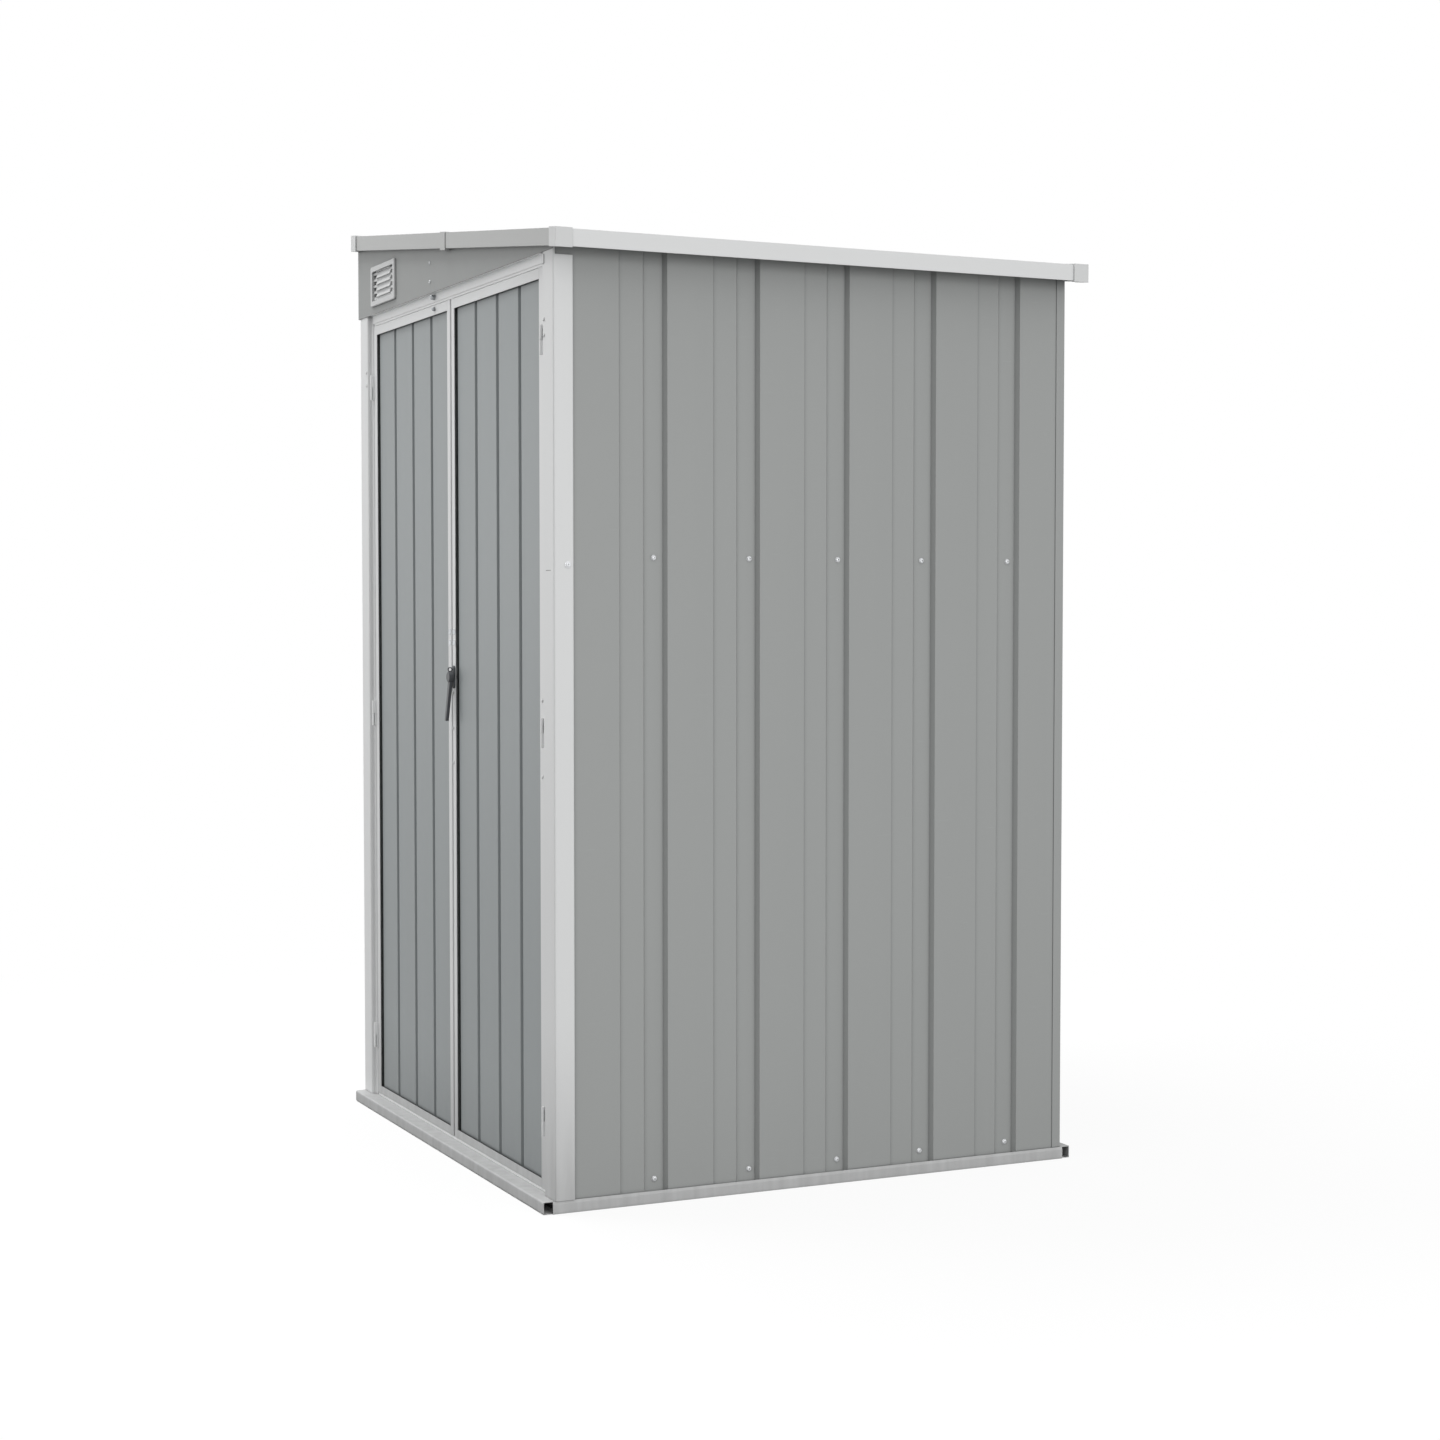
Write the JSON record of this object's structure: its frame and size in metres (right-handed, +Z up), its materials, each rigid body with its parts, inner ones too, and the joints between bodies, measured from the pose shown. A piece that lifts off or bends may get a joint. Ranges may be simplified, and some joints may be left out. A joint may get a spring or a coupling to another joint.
{
  "type": "metal tool shed",
  "caption": "Lean-to sheet-steel tool shed with ribbed walls, a double door in the gable end, a lever handle and a louvred gable vent.",
  "frame": {"origin": "middle of the roof's plan, at ground level", "axes": "+Z up, doors face -Y, low eave on +X, high side on -X"},
  "size_m": [1.144, 1.039, 1.7755],
  "materials": {
    "grey_sheet": "satin",
    "door_sheet": "satin",
    "white_steel": "satin",
    "inner_steel": "satin",
    "white_plastic": "matte",
    "zinc": "satin",
    "black_plastic": "matte"
  },
  "bodies": {
    "shed": {"front_sill": "white_steel", "base_rail_right": "white_steel", "base_rail_left": "white_steel", "base_rail_rear": "white_steel", "front_post_right": "white_steel", "front_post_left": "white_steel", "rear_post_right": "inner_steel", "rear_post_left": "inner_steel", "mid_rail_right": "inner_steel", "mid_rail_left": "inner_steel", "mid_rail_rear": "inner_steel", "top_rail_right": "inner_steel", "top_rail_left": "inner_steel", "top_rail_front": "inner_steel", "top_rail_rear": "inner_steel", "door_header": "white_steel", "gable_strut": "inner_steel", "roof_purlin": "inner_steel", "wall_right": "grey_sheet", "wall_left": "grey_sheet", "wall_rear": "grey_sheet", "gable_panel_front": "grey_sheet", "gable_vent": "white_plastic", "roof_sheet_front": "grey_sheet", "roof_sheet_rear": "grey_sheet", "roof_trim_eave": "white_steel", "roof_trim_high": "white_steel", "roof_trim_front": "white_steel", "roof_trim_rear": "white_steel", "trim_joiner_front": "white_steel", "trim_joiner_rear": "white_steel", "roof_cap_front_right": "white_plastic", "roof_cap_front_left": "white_plastic", "roof_cap_rear_right": "white_plastic", "roof_cap_rear_left": "white_plastic", "post_right_hinge_leaves": "white_steel", "post_left_hinge_leaves": "white_steel"},
    "door_right": {"door_right_stiles": "white_steel", "door_right_rails": "white_steel", "door_right_panel": "door_sheet", "door_right_hinge_leaves": "white_steel", "handle_plate": "black_plastic"},
    "door_left": {"door_left_stiles": "white_steel", "door_left_rails": "white_steel", "door_left_panel": "door_sheet", "door_left_hinge_leaves": "white_steel"},
    "handle": {"handle_lever": "black_plastic"}
  },
  "joints": [
    {"name": "door_right_hinge", "type": "hinge", "parent": "shed", "child": "door_right", "pos_m": [0.45775, -0.4965, 0.8], "axis": [0, 0, 1], "range_deg": [0, 110]},
    {"name": "door_left_hinge", "type": "hinge", "parent": "shed", "child": "door_left", "pos_m": [-0.49575, -0.4965, 0.8], "axis": [0, 0, -1], "range_deg": [0, 110]},
    {"name": "handle_turn", "type": "hinge", "parent": "door_right", "child": "handle", "pos_m": [-0.0074, -0.497, 0.887], "axis": [0, -1, 0], "range_deg": [0, 90]}
  ]
}
